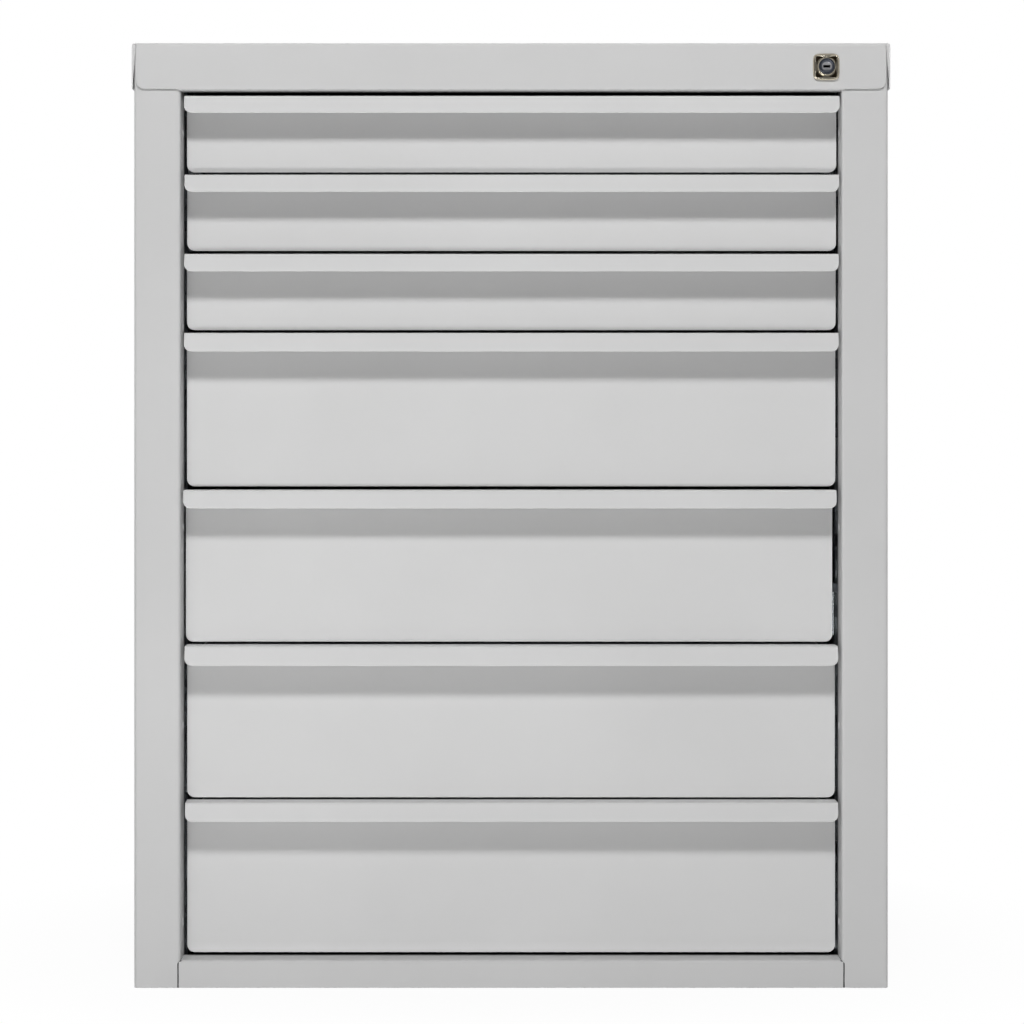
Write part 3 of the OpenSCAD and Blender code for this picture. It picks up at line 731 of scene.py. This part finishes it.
def makeLockPlug():
    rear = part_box("lock_plug")[1].y
    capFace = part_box("top_cap")[0].y
    bm = bmesh.new()
    rings = [addRing(bm, lockPlug["radius"], lockPlug["radius"], rear)]
    rings += [addRing(bm, halfX, halfZ, capFace - out * mm, roundness)
              for halfX, halfZ, out, roundness in lockPlug["rings"]]
    bands = bridgeRings(bm, rings)
    paintBands(bands, 1, lockPlug["face"])
    closeEnds(bm)
    piece = finishPiece("lock_plug_turned", bm, plugSteel, "lock_plug", ["lock_plug"])
    piece.data.materials.append(plugFace)


makeLockHousing()
makeLockPlug()
print("welds and lock made")


# carried-over nodes

nodeFinish = {
    "back_panel": bodyPaint, "base_panel": bodyPaint, "cross_rails": bodyPaint,
    "slide_uprights": galvanised, "bar_guides": galvanised,
    "cabinet_members": slideZinc, "slide_screws": screwSteel,
    "lock_nut": camNickel, "lock_cam": camNickel, "cam_screw": screwSteel,
    "lock_bar": shadedBarZinc, "lock_hooks": shadedBarZinc,
}
for number in drawerNumbers:
    nodeFinish[f"drawer_{number}_tray"] = trayPaint
    nodeFinish[f"drawer_{number}_drawer_members"] = slideZinc
    nodeFinish[f"drawer_{number}_middle_members"] = slideZinc
    nodeFinish[f"drawer_{number}_outer_cages"] = cageSteel
    nodeFinish[f"drawer_{number}_inner_cages"] = cageSteel
for name, material in nodeFinish.items():
    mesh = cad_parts[name].data
    mesh.materials.clear()
    mesh.materials.append(material)
print("carried-over nodes finished")


# floor, world, lights and camera

studio = {
    "floorSize": 6.0,
    "floorTone": "#c4c4c4",
    "glowNear": 0.96, "glowFar": 1.0,       # the white floor greys a little close to the cabinet
    "nearEdge": 0.3, "farEdge": 0.55,       # from the middle, m
    "frontFill": 0.0, "backFill": 1.05,     # even light from behind, none of it on the drawers
    "fillFrom": -0.2, "fillTo": 0.3,        # how far round to the front it comes, 1 is straight behind
    "behindCamera": 0.2,                    # gloss sees a darker room in front of the drawers
    "darkFrom": -0.85, "darkTo": -0.45,
    # place, aim, width and height, power
    "lamps": {
        "key": ((-0.03, -2.07, 2.14), (0, -0.25, 0.45), (0.3, 0.3), 40.3),
        "low": ((-0.35, -2.2, 0.06), (0, -0.25, 0.12), (1.2, 0.1), 11.3),
        "stripLeft": ((-1.9, -2.9, 0.65), (0, -0.25, 0.45), (0.35, 1.1), 1.0),
        "stripRight": ((1.9, -2.9, 0.65), (0, -0.25, 0.45), (0.35, 1.1), 1.0),
    },
}


def makeFloor():
    material = bpy.data.materials.new("studioFloor")
    material.use_nodes = True
    tree = material.node_tree
    tree.nodes.clear()
    place = addNode(tree, "ShaderNodeTexCoord").outputs["Object"]
    away = addNode(tree, "ShaderNodeVectorMath", {"operation": "LENGTH"}, {0: place})
    near = addNode(tree, "ShaderNodeMapRange",
                   {"From Min": studio["nearEdge"], "From Max": studio["farEdge"],
                    "To Min": studio["glowNear"], "To Max": studio["glowFar"]},
                   {"Value": away.outputs["Value"]})
    rays = addNode(tree, "ShaderNodeLightPath")
    seen = addNode(tree, "ShaderNodeMath", {"operation": "MAXIMUM"},
                   {0: rays.outputs["Is Camera Ray"], 1: rays.outputs["Is Glossy Ray"]})
    seenAll = addNode(tree, "ShaderNodeMath", {"operation": "MAXIMUM"},
                      {0: seen.outputs["Value"], 1: rays.outputs["Is Transmission Ray"]})
    share = addNode(tree, "ShaderNodeMath", {"operation": "MULTIPLY"},
                    {0: near.outputs["Result"], 1: seenAll.outputs["Value"]})
    ground = addNode(tree, "ShaderNodeBsdfDiffuse", {"Color": linearColour(studio["floorTone"])})
    glow = addNode(tree, "ShaderNodeEmission", {"Color": linearColour("#ffffff"), "Strength": 1.0})
    mix = addNode(tree, "ShaderNodeMixShader", links={0: share.outputs["Value"], 1: ground.outputs["BSDF"],
                                                      2: glow.outputs["Emission"]})
    addNode(tree, "ShaderNodeOutputMaterial", links={"Surface": mix.outputs["Shader"]})
    bm = bmesh.new()
    bmesh.ops.create_grid(bm, x_segments=1, y_segments=1, size=studio["floorSize"] / 2)
    mesh = bpy.data.meshes.new("floor")
    bm.to_mesh(mesh)
    bm.free()
    mesh.materials.append(material)
    floor = bpy.data.objects.new("floor", mesh)
    bpy.context.scene.collection.objects.link(floor)


def makeWorld():
    world = bpy.data.worlds.new("studioWorld")
    bpy.context.scene.world = world
    world.use_nodes = True
    tree = world.node_tree
    tree.nodes.clear()
    rays = addNode(tree, "ShaderNodeLightPath")
    direction = addNode(tree, "ShaderNodeTexCoord").outputs["Generated"]
    parts = addNode(tree, "ShaderNodeSeparateXYZ", links={"Vector": direction})
    room = addNode(tree, "ShaderNodeMapRange",
                   {"From Min": studio["darkFrom"], "From Max": studio["darkTo"],
                    "To Min": studio["behindCamera"], "To Max": 1.0},
                   {"Value": parts.outputs["Y"]})
    even = addNode(tree, "ShaderNodeMapRange",
                   {"From Min": studio["fillFrom"], "From Max": studio["fillTo"],
                    "To Min": studio["frontFill"], "To Max": studio["backFill"]},
                   {"Value": parts.outputs["Y"]})
    lit = addNode(tree, "ShaderNodeMix", {"data_type": "FLOAT"},
                  {"Factor": rays.outputs["Is Glossy Ray"], "A": even.outputs["Result"],
                   "B": room.outputs["Result"]})
    seen = addNode(tree, "ShaderNodeMath", {"operation": "MAXIMUM"},
                   {0: rays.outputs["Is Camera Ray"], 1: rays.outputs["Is Transmission Ray"]})
    strength = addNode(tree, "ShaderNodeMix", {"data_type": "FLOAT", "B": 1.0},
                       {"Factor": seen.outputs["Value"], "A": lit.outputs["Result"]})
    background = addNode(tree, "ShaderNodeBackground", {"Color": linearColour("#ffffff")},
                         {"Strength": strength.outputs["Result"]})
    addNode(tree, "ShaderNodeOutputWorld", links={"Surface": background.outputs["Background"]})


def addLamp(name, place, aim, size, power):
    lamp = bpy.data.lights.new(name, "AREA")
    lamp.energy = power
    lamp.shape = "RECTANGLE"
    lamp.size, lamp.size_y = size
    holder = bpy.data.objects.new(name, lamp)
    holder.location = place
    holder.rotation_euler = (Vector(aim) - Vector(place)).to_track_quat("-Z", "Y").to_euler()
    holder.visible_camera = False
    holder.visible_glossy = name != "key"       # its mirror image would burn out the paint
    bpy.context.scene.collection.objects.link(holder)


makeFloor()
makeWorld()
for name, settings in studio["lamps"].items():
    addLamp(name, *settings)

viewpoint = {
    "sensorWidth": 36, "lens": 112.67, "shiftY": -0.0703,
    "place": (0.0008, -2.79855, 0.436), "tilt": 90,     # level
}

camera = bpy.data.objects.new("camera", bpy.data.cameras.new("camera"))
camera.data.sensor_width = viewpoint["sensorWidth"]
camera.data.lens = viewpoint["lens"]
camera.data.shift_y = viewpoint["shiftY"]
camera.location = viewpoint["place"]
camera.rotation_euler = (math.radians(viewpoint["tilt"]), 0, 0)
bpy.context.scene.collection.objects.link(camera)
bpy.context.scene.camera = camera
bpy.context.scene.view_settings.view_transform = "Standard"
print("floor, lights and camera set")
